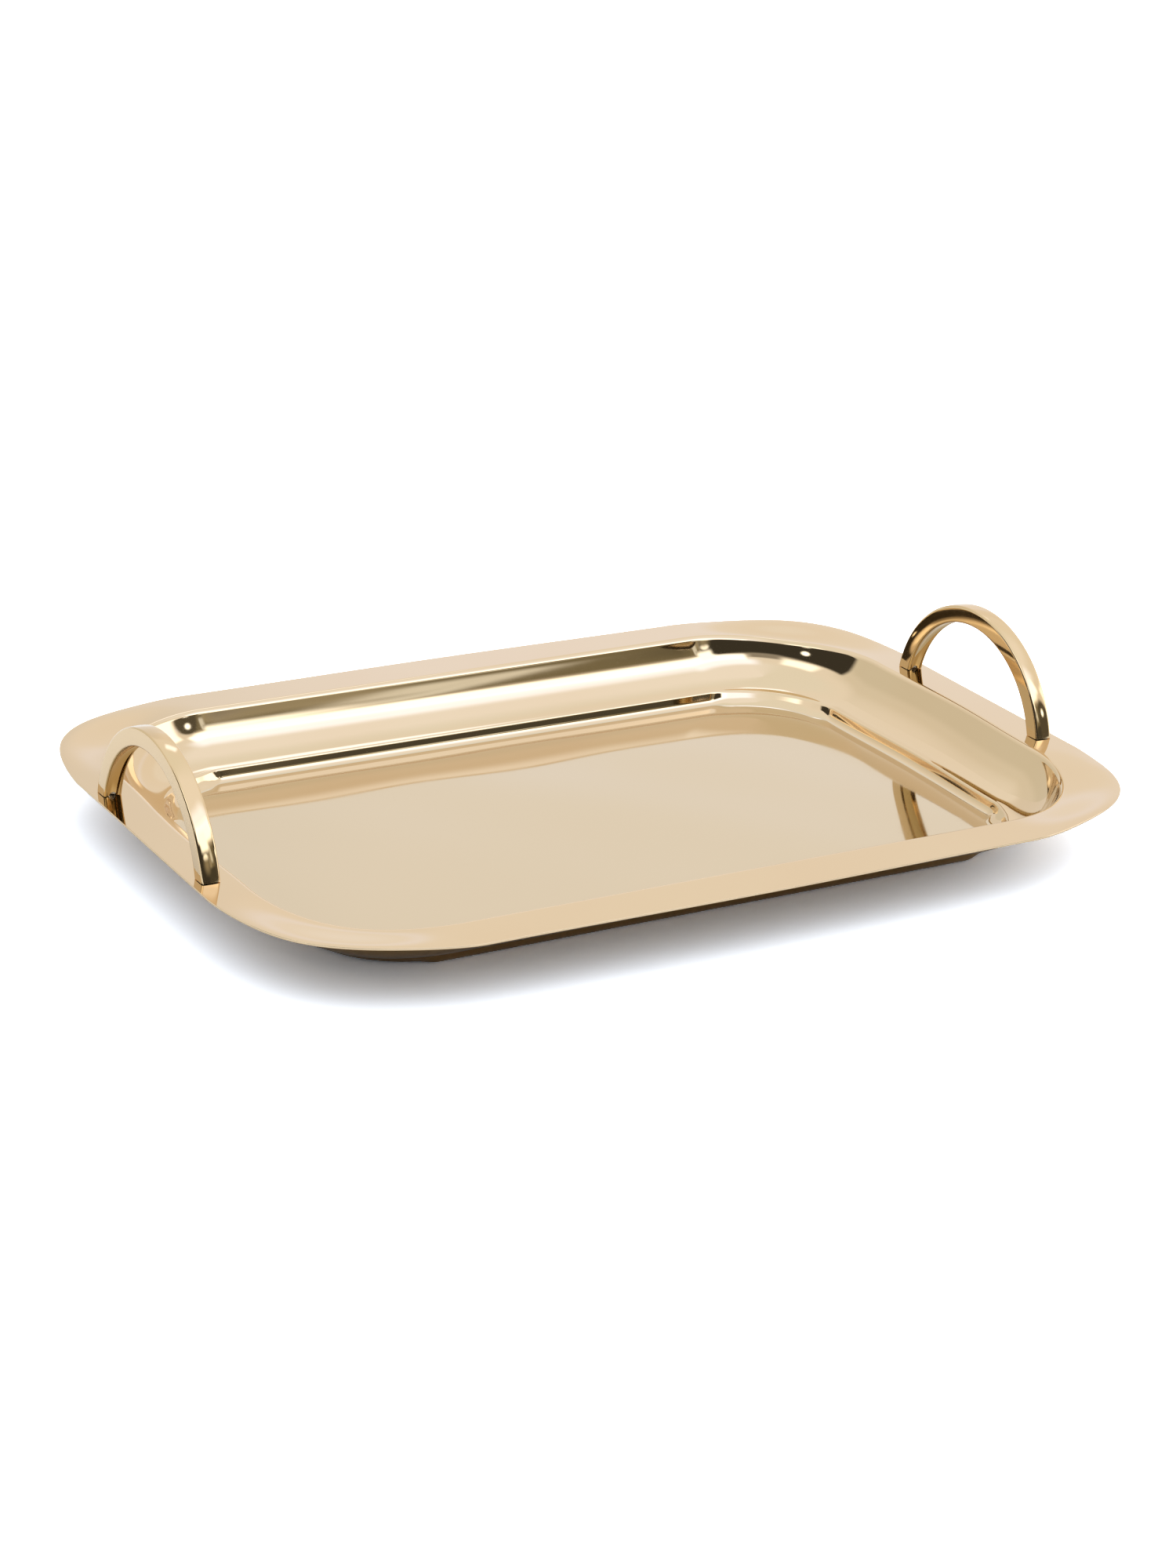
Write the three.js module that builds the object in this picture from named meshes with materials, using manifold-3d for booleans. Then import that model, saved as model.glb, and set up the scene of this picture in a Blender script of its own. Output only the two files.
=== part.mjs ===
// A pressed brass serving tray: one deep sheet pan with a flat rim, and an arched square-tube handle
// standing on each short side of the rim.  Each handle leg is closed by a plug, and a screw with a
// washer comes up through the rim from below into that plug.
// Millimetres, +Z up, +X along the tray's long side; the pan rests on the plane z = 0.

import * as THREE from 'three';
import { mergeVertices } from 'three/addons/utils/BufferGeometryUtils.js';
import Module from 'manifold-3d';

const wasm = await Module();
wasm.setup();

// ---- driving dimensions: the pan
const SHEET = 1.0;                 // thickness of the pressed sheet
const PAN_DEPTH = 29.0;            // from the rim's top face down to the floor of the well
const RIM_TOP = PAN_DEPTH + SHEET;
// Each outline is a rounded rectangle: half sizes on the axes, corner radius, how far the short and
// long sides bow outwards at their middles, how far the corner swells into a soft point, and how far
// it lifts above or dips below the level of the rim.
const RIM_EDGE = { halfX: 228.6, halfY: 162.7, corner: 87, bowX: 0, bowY: 1.5, swell: 3.1, lift: 1.1 };
const WELL_MOUTH = { halfX: 210.1, halfY: 139.0, corner: 71, bowX: 2.4, bowY: 0, swell: 0, lift: -1.8 };
const FLOOR_CORNER = 42;           // corner radius where the wall meets the floor
const FLOOR_BOW = 1.6;             // bow of the floor's short sides
const SWELL_AT = THREE.MathUtils.degToRad(37);   // direction of the soft point in the corner arc

// ---- driving dimensions: the wall of the well, from the rim inwards and down
const BEND_RADIUS = 3.0;           // rim folded over into the wall
const WALL_SLOPE = THREE.MathUtils.degToRad(68);
const COVE_RADIUS = 26;            // broad hollow curve of the wall
const LEDGE_SLOPE = THREE.MathUtils.degToRad(12);
// The small step round the floor: crest radius, slope, length of its flat and radius of its run into the
// floor.  Round the corners it is softer.
const STEP = { ridge: 1.6, slope: THREE.MathUtils.degToRad(73), length: 2.46, fillet: 4.1 };
const CORNER_STEP = { ridge: 2.6, slope: THREE.MathUtils.degToRad(55), length: 2.3, fillet: 8 };
const CORNER_BLEND = THREE.MathUtils.degToRad(18);   // turn over which one becomes the other
const MOUTH_OVERHANG = 1.2;        // the fold starts this far outside the mouth outline

// ---- driving dimensions: the handles
const TUBE = 8.8;                  // outside of the square tube
const TUBE_WALL = 0.9;
const TUBE_EDGE = 1.0;             // outside corner radius of the tube
const CHANNEL = 1.0;               // depth of the dished underside
const ARCH_RADIUS = 61;            // outside radius of the arch
const ARCH_DROP = 13.1;            // centre of the arch below the rim's top face
const HANDLE_X = 220.2;            // middle of each handle, out from the middle of the tray
const NOTCH_RADIUS = 1.7;          // small arched vent at the bottom of each leg's inner wall

// ---- driving dimensions: the fixings
const GAP = 0.3;                   // clearance between pieces that touch
const SCREW_RADIUS = 1.25;
const SCREW_HOLE = SCREW_RADIUS + GAP;
const SCREW_REACH = 4.4;           // shank above the rim
const HEAD_RADIUS = 2.4;
const HEAD_HEIGHT = 1.6;
const SOCKET_RADIUS = 0.8;
const SOCKET_DEPTH = 0.9;
const WASHER_RADIUS = 3.2;
const WASHER_HEIGHT = 0.5;
const PLUG_HEIGHT = 5.6;

// ---- how finely the curves are divided
const ARC_STEPS = 8;               // per corner of an outline
const SIDE_STEPS = 4;              // per side of an outline
const ARCH_STEPS = 24;
const ROUND_STEPS = 20;            // round a screw, washer or hole

const ARCH_CENTRE = RIM_TOP + GAP - ARCH_DROP;
const TUBE_LINE = ARCH_RADIUS - TUBE / 2;
const LEG_Y = Math.sqrt((TUBE_LINE + CHANNEL / 2) ** 2 - (ARCH_DROP + PLUG_HEIGHT / 2) ** 2);

const BRASS = { color: 0xdcc194, roughness: 0.12, metalness: 1.0 };
const HANDLE_BRASS = { color: 0xd2ab66, roughness: 0.1, metalness: 1.0 };
const STEEL = { color: 0xb8b4aa, roughness: 0.35, metalness: 1.0 };

// ---- shared helpers

function clean(geometry) {
  geometry.deleteAttribute('normal');
  geometry.deleteAttribute('uv');
  return mergeVertices(geometry, 1e-4);
}

function toSolid(geometry) {
  const merged = clean(geometry);
  const vertProperties = new Float32Array(merged.attributes.position.array);
  const triVerts = new Uint32Array(merged.index.array);
  return new wasm.Manifold(new wasm.Mesh({ numProp: 3, vertProperties, triVerts }));
}

function toGeometry(solid) {
  const mesh = solid.getMesh();
  const geometry = new THREE.BufferGeometry();
  geometry.setAttribute('position', new THREE.BufferAttribute(mesh.vertProperties, 3));
  geometry.setIndex(new THREE.BufferAttribute(mesh.triVerts, 1));
  return geometry;
}

function upright(radius, bottom, top, x, y) {
  const cylinder = new THREE.CylinderGeometry(radius, radius, top - bottom, ROUND_STEPS);
  cylinder.rotateX(Math.PI / 2);
  cylinder.translate(x, y, (bottom + top) / 2);
  return cylinder;
}

function block(low, high) {
  const box = new THREE.BoxGeometry(high.x - low.x, high.y - low.y, high.z - low.z);
  box.translate((low.x + high.x) / 2, (low.y + high.y) / 2, (low.z + high.z) / 2);
  return box;
}

function named(name, geometry, look) {
  const mesh = new THREE.Mesh(geometry, new THREE.MeshStandardMaterial(look));
  mesh.name = name;
  return mesh;
}

// ---- the pan

// A closed outline seen from above: four bowed sides joined by swollen corner arcs.
class TrayOutline extends THREE.Curve {
  constructor(size) {
    super();
    this.size = size;
  }

  // Points of one quarter, from the +X axis to just short of the +Y axis, at heights above the rim's.
  quarter() {
    const { halfX, halfY, corner, bowX, bowY, swell, lift } = this.size;
    const centreX = halfX - bowX - corner;
    const centreY = halfY - bowY - corner;
    const half = SIDE_STEPS / 2;
    const points = [];
    for (let i = 0; i < half; i += 1) {
      const along = i / half;
      const bow = bowX * Math.cos(along * Math.PI / 2) ** 2;
      points.push(new THREE.Vector3(centreX + corner + bow, centreY * along, 0));
    }
    for (let i = 0; i <= ARC_STEPS; i += 1) {
      const angle = i / ARC_STEPS * Math.PI / 2;
      const point = swell * Math.cos(4 * (angle - SWELL_AT)) * Math.sin(2 * angle);
      const reach = corner + point;
      const x = centreX + reach * Math.cos(angle);
      const y = centreY + reach * Math.sin(angle);
      points.push(new THREE.Vector3(x, y, lift * Math.sin(2 * angle) ** 2));
    }
    for (let i = 1; i < half; i += 1) {
      const along = 1 - i / half;
      const bow = bowY * Math.cos(along * Math.PI / 2) ** 2;
      points.push(new THREE.Vector3(centreX * along, centreY + corner + bow, 0));
    }
    return points;
  }

  // The whole ring, anticlockwise from the +X axis, at one height.
  ring(z) {
    const east = this.quarter();
    const north = new THREE.Vector3(0, this.size.halfY, 0);
    const half = [...east, north];
    for (const point of east.slice(1).reverse()) {
      half.push(new THREE.Vector3(-point.x, point.y, point.z));
    }
    const ring = [];
    for (const point of half) {
      ring.push(new THREE.Vector3(point.x, point.y, z + point.z));
    }
    for (const point of half) {
      ring.push(new THREE.Vector3(-point.x, -point.y, z + point.z));
    }
    return ring;
  }
}

// The outline of the well at a distance inside the mouth, tightening and levelling towards the floor.
function wellOutline(inset, floorInset) {
  const down = inset / floorInset;
  return new TrayOutline({
    halfX: WELL_MOUTH.halfX - inset - (WELL_MOUTH.bowX - FLOOR_BOW) * down,
    halfY: WELL_MOUTH.halfY - inset,
    corner: THREE.MathUtils.lerp(WELL_MOUTH.corner, FLOOR_CORNER, down),
    bowX: THREE.MathUtils.lerp(WELL_MOUTH.bowX, FLOOR_BOW, down),
    bowY: 0,
    swell: 0,
    lift: WELL_MOUTH.lift * (1 - down),
  });
}

// The wall's section as a chain of arcs and straights.  Each point has its inset from the mouth,
// its depth below the rim and the slope of the surface there.
function wallSection(step) {
  const section = [{ inset: -MOUTH_OVERHANG, depth: 0, slope: 0 }];

  function arc(radius, from, to, steps, turn) {
    const start = section[section.length - 1];
    for (let i = 1; i <= steps; i += 1) {
      const slope = from + (to - from) * i / steps;
      section.push({
        inset: start.inset + turn * radius * (Math.sin(slope) - Math.sin(from)),
        depth: start.depth + turn * radius * (Math.cos(from) - Math.cos(slope)),
        slope,
      });
    }
  }

  function straight(length) {
    const start = section[section.length - 1];
    section.push({
      inset: start.inset + length * Math.cos(start.slope),
      depth: start.depth + length * Math.sin(start.slope),
      slope: start.slope,
    });
  }

  const bendDepth = BEND_RADIUS * (1 - Math.cos(WALL_SLOPE));
  const coveDepth = COVE_RADIUS * (Math.cos(LEDGE_SLOPE) - Math.cos(WALL_SLOPE));
  const ridgeDepth = step.ridge * (Math.cos(LEDGE_SLOPE) - Math.cos(step.slope));
  const stepDepth = step.length * Math.sin(step.slope);
  const filletDepth = step.fillet * (1 - Math.cos(step.slope));
  const wallDepth = PAN_DEPTH - bendDepth - coveDepth - ridgeDepth - stepDepth - filletDepth;

  arc(BEND_RADIUS, 0, WALL_SLOPE, 4, 1);
  straight(wallDepth / Math.sin(WALL_SLOPE));
  arc(COVE_RADIUS, WALL_SLOPE, LEDGE_SLOPE, 6, -1);
  arc(step.ridge, LEDGE_SLOPE, step.slope, 3, 1);
  straight(step.length);
  arc(step.fillet, step.slope, 0, 4, -1);
  return section;
}

// How much of the corners' softer step each point of a ring takes: none along the sides, all round a corner.
function cornerShare() {
  const half = SIDE_STEPS / 2;
  const east = new Array(half).fill(0);
  for (let i = 0; i <= ARC_STEPS; i += 1) {
    const turn = Math.min(i, ARC_STEPS - i) / ARC_STEPS * Math.PI / 2;
    east.push(THREE.MathUtils.smoothstep(turn, 0, CORNER_BLEND));
  }
  east.push(...new Array(half - 1).fill(0));
  const whole = [...east, 0, ...east.slice(1).reverse()];
  return [...whole, ...whole];
}

// The wall's rings from the mouth to the floor, at a distance under its upper surface.
function wallRings(under) {
  const [sides, corners] = [STEP, CORNER_STEP].map((step) => {
    const section = wallSection(step);
    const floorInset = section[section.length - 1].inset;
    return section.map(({ inset, depth, slope }) => {
      const outline = wellOutline(inset - under * Math.sin(slope), floorInset);
      return outline.ring(RIM_TOP - depth - under * Math.cos(slope));
    });
  });
  const share = cornerShare();
  return sides.map((ring, r) => ring.map((point, i) => point.lerp(corners[r][i], share[i])));
}

// Rings joined in order, the first and last closed by flat faces.
function loft(rings) {
  const count = rings[0].length;
  const points = rings.flat();
  const index = [];
  for (let r = 0; r + 1 < rings.length; r += 1) {
    for (let i = 0; i < count; i += 1) {
      const next = (i + 1) % count;
      const a = r * count + i;
      const b = r * count + next;
      index.push(a, b, b + count);
      index.push(a, b + count, a + count);
    }
  }
  const last = (rings.length - 1) * count;
  for (let i = 0; i < count; i += 1) {
    const next = (i + 1) % count;
    index.push(points.length, next, i);
    index.push(points.length + 1, last + i, last + next);
  }
  points.push(new THREE.Vector3(0, 0, rings[0][0].z));
  points.push(new THREE.Vector3(0, 0, rings[rings.length - 1][0].z));
  const geometry = new THREE.BufferGeometry().setFromPoints(points);
  geometry.setIndex(index);
  return geometry;
}

function trayPan() {
  const edge = new TrayOutline(RIM_EDGE);
  const rings = [
    ...wallRings(SHEET).reverse(), edge.ring(RIM_TOP - SHEET), edge.ring(RIM_TOP), ...wallRings(0),
  ];
  let pan = toSolid(loft(rings));
  for (const side of [-1, 1]) {
    for (const end of [-1, 1]) {
      const hole = upright(SCREW_HOLE, RIM_TOP - 2 * SHEET, RIM_TOP + SHEET, side * HANDLE_X, end * LEG_Y);
      pan = pan.subtract(toSolid(hole));
    }
  }
  return named('tray_pan', toGeometry(pan), BRASS);
}

// ---- the handles

// A half circle over the rim in the plane of one short side, carried on below the rim.
class ArchLine extends THREE.Curve {
  constructor(x, from, to) {
    super();
    this.x = x;
    this.from = from;
    this.to = to;
  }

  getPoint(t, target = new THREE.Vector3()) {
    const angle = THREE.MathUtils.lerp(this.from, this.to, t);
    const y = TUBE_LINE * Math.cos(angle);
    return target.set(this.x, y, ARCH_CENTRE + TUBE_LINE * Math.sin(angle));
  }
}

// The tube's section inset by a margin; +y points to the middle of the arch, where the wall is dished.
function tubeSection(outline, margin, edge) {
  const half = TUBE / 2 - margin;
  const dish = half - CHANNEL;
  outline.moveTo(half - edge, -half);
  outline.absarc(half - edge, -half + edge, edge, -Math.PI / 2, 0, false);
  outline.absarc(half - edge, half - edge, edge, 0, Math.PI / 2, false);
  outline.bezierCurveTo(half / 3, dish - margin / 3, -half / 3, dish - margin / 3, -half + edge, half);
  outline.absarc(-half + edge, half - edge, edge, Math.PI / 2, Math.PI, false);
  outline.absarc(-half + edge, -half + edge, edge, Math.PI, Math.PI * 1.5, false);
  outline.closePath();
  return outline;
}

function sweep(section, line, steps, curveSegments) {
  return new THREE.ExtrudeGeometry(section, { steps, curveSegments, extrudePath: line, bevelEnabled: false });
}

// Removes everything below the plane where the legs stand on the rim.
function trimFeet(solid, x) {
  const foot = RIM_TOP + GAP;
  const low = new THREE.Vector3(x - ARCH_RADIUS, -2 * ARCH_RADIUS, foot - 2 * ARCH_RADIUS);
  const high = new THREE.Vector3(x + ARCH_RADIUS, 2 * ARCH_RADIUS, foot);
  return solid.subtract(toSolid(block(low, high)));
}

function handle(name, x) {
  const section = tubeSection(new THREE.Shape(), 0, TUBE_EDGE);
  section.holes.push(tubeSection(new THREE.Path(), TUBE_WALL, TUBE_EDGE / 3));
  const tube = sweep(section, new ArchLine(x, 0, Math.PI), ARCH_STEPS, 2);
  let solid = trimFeet(toSolid(tube), x);
  for (const end of [-1, 1]) {
    const vent = new THREE.CylinderGeometry(NOTCH_RADIUS, NOTCH_RADIUS, TUBE, ROUND_STEPS);
    vent.translate(x, end * (LEG_Y - TUBE / 2 - TUBE_WALL), RIM_TOP + GAP);
    solid = solid.subtract(toSolid(vent));
  }
  return named(name, toGeometry(solid), HANDLE_BRASS);
}

// ---- the fixings

// A short block following the inside of a leg, drilled from below for its screw.
function plug(name, x, end) {
  const section = tubeSection(new THREE.Shape(), TUBE_WALL + GAP, TUBE_EDGE / 4);
  const top = Math.asin((ARCH_DROP + PLUG_HEIGHT) / TUBE_LINE);
  const line = end > 0 ? new ArchLine(x, 0, top) : new ArchLine(x, Math.PI - top, Math.PI);
  const body = trimFeet(toSolid(sweep(section, line, 4, 2)), x);
  const hole = upright(SCREW_HOLE, RIM_TOP, RIM_TOP + GAP + SCREW_REACH + GAP, x, end * LEG_Y);
  return named(name, toGeometry(body.subtract(toSolid(hole))), STEEL);
}

function washer(name, x, y) {
  const top = RIM_TOP - SHEET - GAP;
  const disc = toSolid(upright(WASHER_RADIUS, top - WASHER_HEIGHT, top, x, y));
  const hole = toSolid(upright(SCREW_HOLE, top - 2 * WASHER_HEIGHT, top + WASHER_HEIGHT, x, y));
  return named(name, toGeometry(disc.subtract(hole)), STEEL);
}

function screw(name, x, y) {
  const seat = RIM_TOP - SHEET - GAP - WASHER_HEIGHT - GAP;
  const shoulder = HEAD_RADIUS * 0.72;
  const profile = [
    new THREE.Vector2(0, seat - HEAD_HEIGHT),
    new THREE.Vector2(shoulder, seat - HEAD_HEIGHT),
    new THREE.Vector2(HEAD_RADIUS, seat - HEAD_HEIGHT / 2),
    new THREE.Vector2(HEAD_RADIUS, seat),
    new THREE.Vector2(SCREW_RADIUS, seat),
    new THREE.Vector2(SCREW_RADIUS, RIM_TOP + SCREW_REACH),
    new THREE.Vector2(0, RIM_TOP + SCREW_REACH),
  ];
  const body = new THREE.LatheGeometry(profile, ROUND_STEPS);
  body.rotateX(Math.PI / 2);
  body.translate(x, y, 0);
  const socket = new THREE.CylinderGeometry(SOCKET_RADIUS, SOCKET_RADIUS, 2 * SOCKET_DEPTH, 6);
  socket.rotateX(Math.PI / 2);
  socket.translate(x, y, seat - HEAD_HEIGHT);
  return named(name, toGeometry(toSolid(body).subtract(toSolid(socket))), STEEL);
}

// ---- the assembly

const tray = new THREE.Group();
tray.add(trayPan());
for (const [side, sign] of [['left', -1], ['right', 1]]) {
  const x = sign * HANDLE_X;
  tray.add(handle(`${side}_handle`, x));
  for (const [end, way] of [['front', -1], ['rear', 1]]) {
    tray.add(plug(`${side}_${end}_plug`, x, way));
    tray.add(washer(`${side}_${end}_washer`, x, way * LEG_Y));
    tray.add(screw(`${side}_${end}_screw`, x, way * LEG_Y));
  }
}

export default tray;
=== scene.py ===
"""Looks of the brass serving tray: finer sheet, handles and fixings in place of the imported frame's, with
brass and steel materials, a pale studio floor and what the metal reflects.  +Z up; it stands on z = 0."""

import math

import bpy
import numpy as np
from mathutils import Matrix, Vector


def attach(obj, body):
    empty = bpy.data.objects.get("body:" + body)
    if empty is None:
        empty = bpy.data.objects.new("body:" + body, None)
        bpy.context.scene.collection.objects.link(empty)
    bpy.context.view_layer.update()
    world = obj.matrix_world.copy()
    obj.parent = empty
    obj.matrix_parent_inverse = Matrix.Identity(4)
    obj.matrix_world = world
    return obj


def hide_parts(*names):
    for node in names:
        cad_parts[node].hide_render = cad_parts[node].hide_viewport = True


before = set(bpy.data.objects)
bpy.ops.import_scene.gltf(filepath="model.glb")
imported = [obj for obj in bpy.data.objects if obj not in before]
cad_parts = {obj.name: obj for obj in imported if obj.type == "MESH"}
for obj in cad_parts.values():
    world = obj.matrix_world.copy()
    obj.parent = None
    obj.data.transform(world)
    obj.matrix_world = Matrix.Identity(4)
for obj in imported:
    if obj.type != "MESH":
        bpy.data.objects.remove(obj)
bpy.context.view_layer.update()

MM = 0.001

# ---- the pan; every size here is in millimetres, and mesh_object() turns them into metres
SHEET = 1.0
PAN_DEPTH = 29.0
RIM_TOP = PAN_DEPTH + SHEET
# outlines: half sizes, corner radius, bow of the sides, how far a corner swells out and how far it is raised
RIM_EDGE = dict(half_x=228.6, half_y=162.7, corner=87.0, bow_x=0.0, bow_y=1.5, swell=3.1, lift=1.1)
WELL_MOUTH = dict(half_x=210.1, half_y=139.0, corner=71.0, bow_x=2.4, bow_y=0.0, swell=0.0, lift=-1.8)
FLOOR_CORNER = 42.0
FLOOR_BOW = 1.6
SWELL_AT = math.radians(37)        # where round a corner the rim is most pointed
BEND_RADIUS = 3.0
WALL_SLOPE = math.radians(68)
WALL_CURVE = math.radians(4)       # the wall is this much steeper at its top and shallower at its foot
COVE_RADIUS = 26.0
LEDGE_SLOPE = math.radians(12)
STEP = dict(slope=math.radians(73), ridge=1.6, length=2.46, fillet=4.1)          # along the sides
CORNER_STEP = dict(slope=math.radians(55), ridge=2.6, length=2.3, fillet=8.0)    # softer round the corners
CORNER_BLEND = math.radians(18)    # the turn over which one step becomes the other
MOUTH_OVERHANG = 1.2
EDGE_ROUND = 0.22                  # eased edges of the cut sheet
EASE_STEPS = 6
RIM_RINGS = 14
RIM_SUPPORT = 0.02                 # a support ring this share of the first strip inside the edge
RIM_DROOP = 0.45                   # how far the rim's edge hangs along the long sides
DROOP_FROM = 100.0                 # it starts this far from the middle and is whole at the next
DROOP_WHOLE = 135.0
FLOOR_RINGS = 34
FLOOR_WAVE = 0.25                  # how far the pressed floor is out of flat
WAVE_OFFSET = 0.1                  # lowers the whole wave by this share of it
WAVE_FADE = 0.12                   # it sets in over this share of the way to the middle

# ---- the handles and fixings
TUBE = 8.8
TUBE_WALL = 0.9
TUBE_EDGE = 1.0
CHANNEL = 1.0
CROWN_OUT = 0.28                   # the tube's outer face is slightly domed
CROWN_SIDE = 0.08                  # and its sides less so
ARCH_RADIUS = 61.0
ARCH_DROP = 13.1
HANDLE_X = 220.2
NOTCH_RADIUS = 1.7
GAP = 0.3
SCREW_RADIUS = 1.25
SCREW_HOLE = SCREW_RADIUS + GAP
SCREW_REACH = 4.4
HEAD_RADIUS = 2.4
HEAD_HEIGHT = 1.6
HEAD_FLAT = 0.72                   # share of the head's radius that is nearly flat
HEAD_DOME = 0.98                   # and how high its edge stands, as a share of the height
HEAD_SKIRT = 0.25                  # upright side of the head
HEAD_SUPPORT = 0.6                 # a support ring this share of the flat's radius
HEAD_EASE = 0.06
HEAD_STEPS = 10
SOCKET_RADIUS = 0.8
SOCKET_DEPTH = 0.9
SOCKET_CONE = 0.2                  # drill point at the bottom of the socket
SHANK_EASE = 0.02
THREAD_START = 0.3                 # above the head's seat
THREAD_END = 0.5                   # below the tip
THREAD_STEP = 0.25
THREAD_DEPTH = 0.16
TIP_TAPER = 0.3
WASHER_RADIUS = 3.2
WASHER_HEIGHT = 0.5
WASHER_EASE = 0.1
PLUG_HEIGHT = 5.6
FOOT = RIM_TOP + GAP
ARCH_CENTRE = FOOT - ARCH_DROP
TUBE_LINE = ARCH_RADIUS - TUBE / 2
LEG_Y = math.sqrt((TUBE_LINE + CHANNEL / 2) ** 2 - (ARCH_DROP + PLUG_HEIGHT / 2) ** 2)

# ---- how finely the curves are divided
ARC_STEPS = 56
SIDE_STEPS = 24
ARCH_STEPS = 144
ROUND_STEPS = 64
DISH_STEPS = 20
SEAM = 0.04                        # support loops this close to a change of curvature
FOOT_SEAM = SEAM / 100             # the same at a handle's foot, as a share of its arch
CUT_CLEAR = 1.0                    # how far a cutting piece reaches past what it cuts

# ---- the camera: looks at the tray's middle, at the height of the rim, from the front left
CAMERA_AZIMUTH = math.radians(-30.56)
CAMERA_ELEVATION = math.radians(21.4)
CAMERA_ROLL = math.radians(2.61)
CAMERA_DISTANCE = 1607.28
CAMERA_SLIDE = (-1.55, -9.59)      # how far it then slides to its right and up
CAMERA_LENS = 78.39


# ---- meshes

def mesh_object(name, points, faces, sharp=32.0):
    """A smooth-shaded mesh object from points in millimetres; edges sharper than the angle stay crisp."""
    mesh = bpy.data.meshes.new(name)
    mesh.from_pydata([tuple(float(c) * MM for c in p) for p in points], [], faces)
    mesh.validate()
    mesh.update()
    mesh.shade_smooth()
    mesh.set_sharp_from_angle(angle=math.radians(sharp))
    obj = bpy.data.objects.new(name, mesh)
    bpy.context.scene.collection.objects.link(obj)
    return obj


def grid_faces(rings, count, closed=False):
    """Quads between rings of equally many points; closed joins the last ring to the first."""
    faces = []
    for r in range(rings if closed else rings - 1):
        a0, b0 = r * count, ((r + 1) % rings) * count
        for i in range(count):
            j = (i + 1) % count
            faces.append((a0 + i, a0 + j, b0 + j, b0 + i))
    return faces


def cut(obj, tools, sharp=32.0):
    """Takes the tools away from obj and removes them."""
    for tool in tools:
        modifier = obj.modifiers.new("cut", "BOOLEAN")
        modifier.operation = "DIFFERENCE"
        modifier.solver = "EXACT"
        modifier.object = tool
    graph = bpy.context.evaluated_depsgraph_get()
    made = bpy.data.meshes.new_from_object(obj.evaluated_get(graph))
    obj.modifiers.clear()
    old = obj.data
    obj.data = made
    made.name = old.name
    bpy.data.meshes.remove(old)
    for tool in tools:
        bpy.data.objects.remove(tool)
    made.shade_smooth()
    made.set_sharp_from_angle(angle=math.radians(sharp))
    return obj


def turned(name, profile, x, y, steps=ROUND_STEPS, sharp=32.0, closed=False):
    """A lathed piece about a vertical axis from (radius, height) points; radius 0 only at the ends."""
    points, rows = [], []
    for radius, z in profile:
        if radius == 0:
            rows.append([len(points)] * steps)
            points.append((x, y, z))
            continue
        rows.append(list(range(len(points), len(points) + steps)))
        for i in range(steps):
            angle = 2 * math.pi * i / steps
            points.append((x + radius * math.cos(angle), y + radius * math.sin(angle), z))
    if closed:
        rows.append(rows[0])
    faces = []
    for low, high in zip(rows, rows[1:]):
        for i in range(steps):
            j = (i + 1) % steps
            corners = [low[i], low[j], high[j], high[i]]
            faces.append(tuple(dict.fromkeys(corners)))
    return mesh_object(name, points, faces, sharp)


def drill(name, radius, low, high, x=0.0, y=0.0):
    """An upright cylinder to cut with."""
    return turned(name, [(0, low), (radius, low), (radius, high), (0, high)], x, y)


# ---- the pan

def outline(half_x, half_y, corner, bow_x, bow_y, swell, lift):
    """A closed ring seen from above as rows of x, y and height above the rim, anticlockwise from +X."""
    cx = half_x - bow_x - corner
    cy = half_y - bow_y - corner
    along = np.arange(SIDE_STEPS) / SIDE_STEPS
    east = np.column_stack([cx + corner + bow_x * np.cos(along * math.pi / 2) ** 2, cy * along, 0 * along])
    angle = np.linspace(0, math.pi / 2, ARC_STEPS + 1)
    reach = corner + swell * np.cos(4 * (angle - SWELL_AT)) * np.sin(2 * angle)
    raised = lift * np.sin(2 * angle) ** 2
    bend = np.column_stack([cx + reach * np.cos(angle), cy + reach * np.sin(angle), raised])
    back = 1 - np.arange(1, SIDE_STEPS + 1) / SIDE_STEPS
    north = np.column_stack([cx * back, cy + corner + bow_y * np.cos(back * math.pi / 2) ** 2, 0 * back])
    quarter = np.vstack([east, bend, north])
    half = np.vstack([quarter, (quarter * [-1, 1, 1])[-2:0:-1]])
    return np.vstack([half, half * [-1, -1, 1]])


def corner_share():
    """How much of the corners' softer step each point of a ring has: 0 on a side, 1 round a corner."""
    angle = np.linspace(0, math.pi / 2, ARC_STEPS + 1)
    bend = np.clip(np.minimum(angle, math.pi / 2 - angle) / CORNER_BLEND, 0, 1)
    bend = bend * bend * (3 - 2 * bend)
    quarter = np.concatenate([np.zeros(SIDE_STEPS), bend, np.zeros(SIDE_STEPS)])
    half = np.concatenate([quarter, quarter[-2:0:-1]])
    return np.concatenate([half, half])


def well_ring(inset, depth, floor_inset):
    """The ring of the well's surface at an inset from the mouth and a depth below the rim; the corners
    grow tighter towards the floor and their dip fades out."""
    down = inset / floor_inset
    level = max(0.0, min(1.0, down))
    level = level * level * (3 - 2 * level)
    ring = outline(
        half_x=WELL_MOUTH["half_x"] - inset - (WELL_MOUTH["bow_x"] - FLOOR_BOW) * down,
        half_y=WELL_MOUTH["half_y"] - inset,
        corner=WELL_MOUTH["corner"] + (FLOOR_CORNER - WELL_MOUTH["corner"]) * down,
        bow_x=WELL_MOUTH["bow_x"] + (FLOOR_BOW - WELL_MOUTH["bow_x"]) * down,
        bow_y=0.0, swell=0.0, lift=WELL_MOUTH["lift"] * (1 - level),
    )
    ring[:, 2] += RIM_TOP - depth
    return ring


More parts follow.
